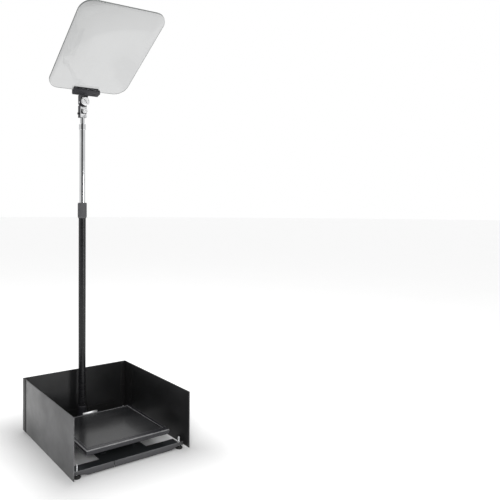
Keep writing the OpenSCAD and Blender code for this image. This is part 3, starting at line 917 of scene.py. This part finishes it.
class BuildPole(bpy.types.Operator):
    """Socket, tubes, clutch and spigot"""

    bl_idname = "teleprompter.build_pole"
    bl_label = "Pole"

    def execute(self, context):
        paint("black_alloy", "pole_socket")
        paint("dark_screw", "socket_bolts")
        paint("gloss_paint", "lower_tube")
        paint("clutch_grey", "clutch_body")
        paint("nylon", "clutch_collet", "tube_guide_plug")
        paint("bright_chrome", "upper_tube", "head_spigot")
        self.sleeve()
        return {"FINISHED"}

    def sleeve(self):
        """Ribbed clutch sleeve, tapered below and with a bright top washer"""
        low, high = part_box("clutch_sleeve")
        centre, outer = (low + high) / 2, (high.x - low.x) / 2
        height = high.z - low.z
        lower_bore = (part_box("lower_tube")[1].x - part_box("lower_tube")[0].x) / 2 + 0.3 * MM
        upper_bore = (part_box("upper_tube")[1].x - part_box("upper_tube")[0].x) / 2 + 0.6 * MM
        inside = lower_bore + 1.6 * MM
        ribs_low, ribs_high = 7.5 * MM, height - 6 * MM
        outline = [
            (lower_bore, 0),
            (outer - 2.6 * MM, 0),
            (outer - 2 * MM, 0.5 * MM),
            (outer - 0.5 * MM, 6 * MM),
            (outer, ribs_low),
            (outer, ribs_high),
            (outer - 0.4 * MM, ribs_high + 1 * MM),
            (outer - 0.4 * MM, height - 2.4 * MM),
            (outer - 1 * MM, height - 1 * MM),
            (outer - 2.2 * MM, height - 0.2 * MM),
            (outer - 3 * MM, height),
            (upper_bore, height),
            (upper_bore, height - 3 * MM),
            (inside, height - 3 * MM),
            (inside, 7.4 * MM),
            (lower_bore, 7.4 * MM),
        ]
        ribs = detail().clutch_ribs
        part = turned(outline + outline[:1], ribs * 4)
        flute(part, outer, 0.8 * MM, ribs_low, ribs_high, ribs)
        for face in part.faces:
            middle = face.calc_center_median()
            face.material_index = int(middle.z > height - 0.15 * MM and face.normal.z > 0.5)
        part.transform(Matrix.Translation((centre.x, centre.y, low.z)))
        names = ["clutch_grey", "satin_alloy"]
        finish_piece("clutch_sleeve_ribbed", part, BODY_OF["clutch_sleeve"], names, ["clutch_sleeve"])


class BuildHead(bpy.types.Operator):
    """Swivel block, faceplate, yoke and clamp jaws"""

    bl_idname = "teleprompter.build_head"
    bl_label = "Head"

    def execute(self, context):
        radius = detail().metal_ease
        ease("swivel_body", radius, "black_alloy")
        ease("swivel_faceplate", radius * 0.6, "satin_alloy")
        ease("glass_yoke", radius, "black_alloy")
        ease("upper_jaw", radius, "black_alloy")
        paint("bright_zinc", "tilt_pin")
        paint("rubber", "jaw_pads")
        paint("dark_screw", "clamp_screws")
        return {"FINISHED"}


class BuildKnobs(bpy.types.Operator):
    """Coin-slotted tilt lock, ribbed swivel lock and the clamp's thumb nuts"""

    bl_idname = "teleprompter.build_knobs"
    bl_label = "Knobs"

    def knob(self, node, joint_name, back, thick, radius, tip, slot=None):
        """Ribbed knob on a screw; distances run outwards from the joint's point"""
        ribs = detail().knob_ribs
        rim, band = radius * 0.16, thick * 0.18
        outline = [
            (0, tip),
            (2.6 * MM, tip),
            (3 * MM, tip + 0.4 * MM),
            (3 * MM, back),
            (radius - 1 * MM, back),
            (radius, back + 1 * MM),
            (radius, back + thick - 1.2 * MM),
            (radius - 0.5 * MM, back + thick - 0.4 * MM),
            (radius - 1.2 * MM, back + thick),
            (radius - rim, back + thick),
            (radius - rim - 0.6 * MM, back + thick - band * 0.35),
            (0, back + thick - band * 0.35),
        ]
        part = turned(outline, ribs * 4)
        flute(part, radius, 0.45 * MM, back + 0.9 * MM, back + thick - 1.1 * MM, ribs)
        if slot:
            self.cut_slot(part, back + thick - band * 0.35, **slot)
        joint = JOINTS[joint_name]
        part.transform(facing(joint["pos_m"], joint["axis"]))
        # The dark second finish is painted shade inside the coin slot.
        finish_piece(node + "_turned", part, BODY_OF[node], ["satin_alloy", "dark_screw"], [node])

    def cut_slot(self, part, face_height, half_length, half_width, depth, turn):
        """Sinks a straight coin slot into the knob's face and paints its walls and floor dark as painted shade"""
        along = Vector((math.cos(turn), math.sin(turn), 0))
        across = Vector((-along.y, along.x, 0))
        for direction, reach in ((along, half_length), (across, half_width)):
            for side in (-1, 1):
                faces = [f for f in part.faces if abs(f.calc_center_median().z - face_height) < 1e-5]
                edges = {e for f in faces for e in f.edges}
                verts = {v for f in faces for v in f.verts}
                geometry = faces + list(edges) + list(verts)
                bmesh.ops.bisect_plane(
                    part, geom=geometry, dist=1e-7, plane_co=direction * side * reach, plane_no=direction
                )
        inside = [
            f
            for f in part.faces
            if abs(f.calc_center_median().z - face_height) < 1e-5
            and abs(f.calc_center_median().dot(along)) < half_length
            and abs(f.calc_center_median().dot(across)) < half_width
        ]
        sunk = bmesh.ops.extrude_face_region(part, geom=inside)["geom"]
        floor = [g for g in sunk if isinstance(g, bmesh.types.BMVert)]
        bmesh.ops.translate(part, vec=(0, 0, -depth), verts=floor)
        for face in sunk:
            if isinstance(face, bmesh.types.BMFace):
                # Slot walls and floor take the dark finish: painted shade in the recess.
                face.material_index = 1
        bmesh.ops.delete(part, geom=[f for f in inside if f.is_valid], context="FACES_ONLY")

    def thumb_nut(self, side):
        node = side + "_clamp_knob"
        radius = 9.5 * MM
        base = -5.2 * MM
        bore = 3.06 * MM
        ribs = 20
        outline = [
            (bore, base),
            (6 * MM, base),
            (6 * MM, base + 4 * MM),
            (radius - 0.6 * MM, base + 4 * MM),
            (radius, base + 4.8 * MM),
            (radius, base + 19.2 * MM),
            (radius - 0.8 * MM, base + 20.6 * MM),
            (radius - 2 * MM, base + 22 * MM),
            (3 * MM, base + 22 * MM),
            (2.4 * MM, base + 21.4 * MM),
            (0, base + 21.4 * MM),
        ]
        inner = [(0, base + 16 * MM), (bore, base + 16 * MM), (bore, base)]
        part = turned(inner + outline[1:], ribs * 4)
        flute(part, radius, 0.7 * MM, base + 4.7 * MM, base + 19.3 * MM, ribs)
        joint = JOINTS[side + "_clamp_turn"]
        part.transform(facing(joint["pos_m"], joint["axis"]))
        finish_piece(node + "_ribbed", part, BODY_OF[node], ["satin_alloy"], [node])

    def execute(self, context):
        slot = {"half_length": 11 * MM, "half_width": 1.3 * MM, "depth": 2 * MM, "turn": math.radians(-50)}
        tilt = {"back": 27.6 * MM, "thick": 8.5 * MM, "radius": 18.3 * MM, "tip": 4.5 * MM}
        swivel = {"back": 22 * MM, "thick": 12 * MM, "radius": 10 * MM, "tip": 10.4 * MM}
        self.knob("tilt_knob", "tilt_lock_turn", slot=slot, **tilt)
        self.knob("swivel_knob", "swivel_lock_turn", **swivel)
        for side in ("left", "right"):
            self.thumb_nut(side)
        return {"FINISHED"}


class BuildGlass(bpy.types.Operator):
    """Coated glass with ground edges"""

    bl_idname = "teleprompter.build_glass"
    bl_label = "Glass"

    def execute(self, context):
        mesh = merged_copy("glass")
        large = max(mesh.faces, key=lambda f: f.calc_area())
        facing_out = large.normal.copy()
        rim = [
            edge
            for edge in mesh.edges
            if len(edge.link_faces) == 2 and edge.calc_face_angle(0) > math.radians(60)
        ]
        bmesh.ops.bevel(
            mesh,
            geom=rim,
            offset=detail().glass_ease,
            offset_type="OFFSET",
            affect="EDGES",
            segments=2,
            profile=0.5,
            material=-1,
            clamp_overlap=True,
        )
        for face in mesh.faces:
            face.material_index = int(abs(face.normal.dot(facing_out)) < 0.95)
        names = ["coated_glass", "ground_glass_edge"]
        finish_piece("coated_glass_plate", mesh, BODY_OF["glass"], names, ["glass"])
        return {"FINISHED"}


class BuildStage(bpy.types.Operator):
    """Pale floor, soft lights and the camera"""

    bl_idname = "teleprompter.build_stage"
    bl_label = "Stage"

    def floor(self):
        mesh = bmesh.new()
        bmesh.ops.create_circle(mesh, cap_ends=True, radius=60, segments=64)
        data = bpy.data.meshes.new("floor")
        mesh.to_mesh(data)
        mesh.free()
        floor = bpy.data.objects.new("floor", data)
        data.materials.append(floor_finish())
        bpy.context.collection.objects.link(floor)

    def surround(self):
        """White surround: full white where it's seen, softer as a light"""
        world = bpy.data.worlds.new("white_surround")
        bpy.context.scene.world = world
        world.use_nodes = True
        nodes, links = world.node_tree.nodes, world.node_tree.links
        background = nodes["Background"]
        background.inputs["Color"].default_value = (1, 1, 1, 1)
        path = nodes.new("ShaderNodeLightPath")
        gloss = nodes.new("ShaderNodeMapRange")
        gloss.inputs["To Min"].default_value = studio().surround
        gloss.inputs["To Max"].default_value = studio().surround_gloss
        links.new(path.outputs["Is Glossy Ray"], gloss.inputs["Value"])
        seen = nodes.new("ShaderNodeMath")
        seen.operation = "MAXIMUM"
        straight = nodes.new("ShaderNodeMath")
        straight.operation = "MAXIMUM"
        links.new(path.outputs["Is Camera Ray"], straight.inputs[0])
        links.new(path.outputs["Is Transmission Ray"], straight.inputs[1])
        links.new(gloss.outputs["Result"], seen.inputs[0])
        links.new(straight.outputs["Value"], seen.inputs[1])
        links.new(seen.outputs["Value"], background.inputs["Strength"])

    def softbox(self, name, place, target, width, height, power):
        lamp = bpy.data.lights.new(name, "AREA")
        lamp.shape = "RECTANGLE"
        lamp.size, lamp.size_y = width, height
        lamp.energy = power
        holder = bpy.data.objects.new(name, lamp)
        holder.location = place
        holder.rotation_mode = "QUATERNION"
        holder.rotation_quaternion = (Vector(place) - Vector(target)).to_track_quat("Z", "Y")
        holder.visible_camera = False
        bpy.context.collection.objects.link(holder)
        return holder

    def flag(self, place, target, width, height):
        """Black card that gives polished tubes a dark stripe; it's never seen itself"""
        mesh = bmesh.new()
        bmesh.ops.create_grid(mesh, x_segments=1, y_segments=1, size=0.5)
        bmesh.ops.scale(mesh, vec=(width, height, 1), verts=mesh.verts)
        turn = (Vector(target) - Vector(place)).to_track_quat("Z", "Y").to_matrix().to_4x4()
        mesh.transform(Matrix.Translation(Vector(place)) @ turn)
        data = bpy.data.meshes.new("black_card")
        mesh.to_mesh(data)
        mesh.free()
        card = bpy.data.objects.new("black_card", data)
        data.materials.append(powder_finish("card_black", (0.004, 0.004, 0.004), 0.8, 0.95))
        card.visible_camera = False
        card.visible_diffuse = False
        card.visible_transmission = False
        card.visible_shadow = False
        bpy.context.collection.objects.link(card)

    def camera(self):
        settings = studio()
        data = bpy.data.cameras.new("camera")
        data.sensor_width = 36
        data.lens = settings.lens
        data.shift_x, data.shift_y = settings.side_shift, settings.rise_shift
        data.dof.use_dof = False
        data.clip_start, data.clip_end = 0.05, 200
        camera = bpy.data.objects.new("camera", data)
        turn, dip = settings.camera_turn, settings.camera_dip
        forward = Vector((math.sin(turn) * math.cos(dip), math.cos(turn) * math.cos(dip), -math.sin(dip)))
        roll = Matrix.Rotation(-settings.camera_roll, 4, forward)
        aim = forward.to_track_quat("-Z", "Y").to_matrix().to_4x4()
        camera.matrix_world = Matrix.Translation(Vector(settings.camera_place)) @ roll @ aim
        bpy.context.collection.objects.link(camera)
        bpy.context.scene.camera = camera

    def execute(self, context):
        settings = studio()
        self.camera()
        self.floor()
        self.surround()
        pole = Vector((0, 0.196, 0.9))
        viewer = Vector(settings.camera_place) - pole
        viewer.z = 0
        viewer.normalize()
        right = Vector((-viewer.y, viewer.x, 0))
        strip_turn, strip_distance, strip_height = math.radians(50), 3.2, 0.55
        strip = pole + strip_distance * (math.cos(strip_turn) * viewer + math.sin(strip_turn) * right)
        strip.z = strip_height
        self.softbox("tall_strip", strip, pole - Vector((0, 0, 0.35)), 0.6, 1.5, settings.strip_power)
        self.softbox("overhead", (0.2, 0.4, 3.6), (0, 0, 0), 3.0, 3.0, settings.overhead_power)
        key = self.softbox("key", (-1.9, -2.6, 1.75), (0.1, -0.1, 0.05), 1.2, 1.2, settings.key_power)
        key.visible_glossy = False
        card_turn, card_distance = math.radians(-8), 4.5
        card = pole + card_distance * (math.cos(card_turn) * viewer + math.sin(card_turn) * right)
        self.flag(card, pole, 5.0, 7.0)
        bpy.context.scene.view_settings.view_transform = "Standard"
        bpy.context.scene.view_settings.look = "None"
        return {"FINISHED"}


# ---------- panel and start ----------

STEPS = (
    BuildStage,
    BuildShroud,
    BuildBaseFrame,
    BuildFeet,
    BuildMonitor,
    BuildPole,
    BuildHead,
    BuildKnobs,
    BuildGlass,
)


class TeleprompterPanel(bpy.types.Panel):
    """Buttons that build each group of pieces"""

    bl_idname = "VIEW3D_PT_teleprompter"
    bl_label = "Teleprompter"
    bl_space_type = "VIEW_3D"
    bl_region_type = "UI"
    bl_category = "Teleprompter"

    def draw(self, context):
        for step in STEPS:
            self.layout.operator(step.bl_idname)


SETTINGS = {
    "teleprompter_studio": StudioSettings,
    "teleprompter_finish": FinishSettings,
    "teleprompter_detail": DetailSettings,
}
CLASSES = (*SETTINGS.values(), *STEPS, TeleprompterPanel)


def register():
    for cls in CLASSES:
        bpy.utils.register_class(cls)
    for name, cls in SETTINGS.items():
        setattr(bpy.types.Scene, name, PointerProperty(type=cls))


def unregister():
    for name in SETTINGS:
        delattr(bpy.types.Scene, name)
    for cls in reversed(CLASSES):
        bpy.utils.unregister_class(cls)


def main():
    register()
    bpy.ops.teleprompter.build_stage()
    bpy.ops.teleprompter.build_shroud()
    bpy.ops.teleprompter.build_base_frame()
    bpy.ops.teleprompter.build_feet()
    bpy.ops.teleprompter.build_monitor()
    bpy.ops.teleprompter.build_pole()
    bpy.ops.teleprompter.build_head()
    bpy.ops.teleprompter.build_knobs()
    bpy.ops.teleprompter.build_glass()


if __name__ == "__main__":
    main()
